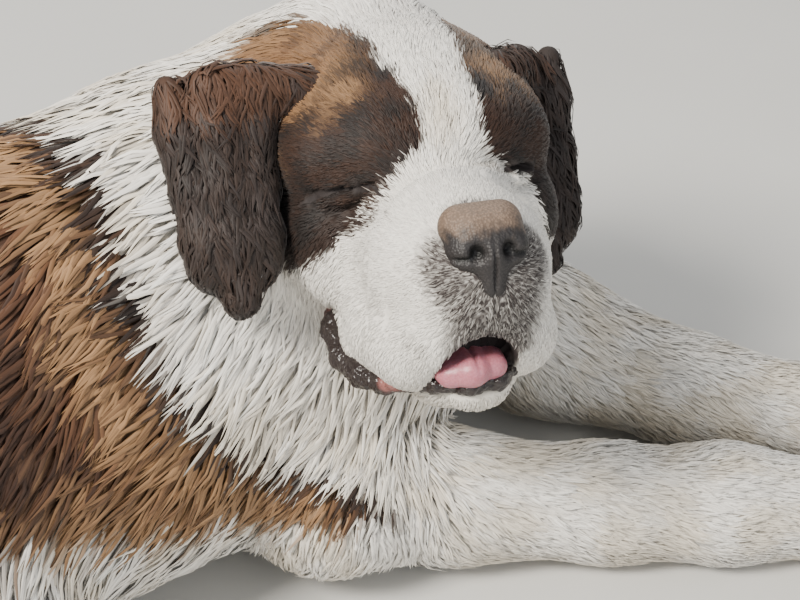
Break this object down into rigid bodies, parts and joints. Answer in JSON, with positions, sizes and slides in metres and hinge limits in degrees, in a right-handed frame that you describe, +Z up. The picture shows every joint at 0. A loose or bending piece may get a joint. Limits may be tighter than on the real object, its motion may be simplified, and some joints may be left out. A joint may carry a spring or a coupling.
{
  "type": "lying saint bernard dog",
  "caption": "Life-size still saint bernard lying on its chest, forelegs stretched ahead, hind legs folded, head turned to its right, mouth slightly open.",
  "frame": {"origin": "on the floor, under the middle of the dog's bounding box", "axes": "+X along the forelegs from tail to paws, +Y to the dog's left, +Z up; the head faces -Y"},
  "size_m": [1.4344, 0.9186, 0.4286],
  "materials": {
    "white_coat": "long soft fur, white to cream",
    "red_coat": "long soft fur, red brown with black tips",
    "dark_coat": "long wavy fur, dark brown",
    "nose_leather": "damp pebbled skin",
    "tongue": "wet and smooth",
    "eye": "wet, clear"
  },
  "bodies": {
    "root": {"head": "white_coat", "neck": "white_coat", "torso": "red_coat", "tail": "white_coat", "foreleg_right": "white_coat", "foreleg_left": "white_coat", "forepaw_right": "white_coat", "forepaw_left": "white_coat", "hindleg_right": "white_coat", "hindleg_left": "white_coat", "hindpaw_right": "white_coat", "hindpaw_left": "white_coat", "lower_jaw": "white_coat", "ear_right": "dark_coat", "ear_left": "dark_coat", "nose": "nose_leather", "tongue": "tongue", "eye_right": "eye", "eye_left": "eye"}
  },
  "joints": []
}
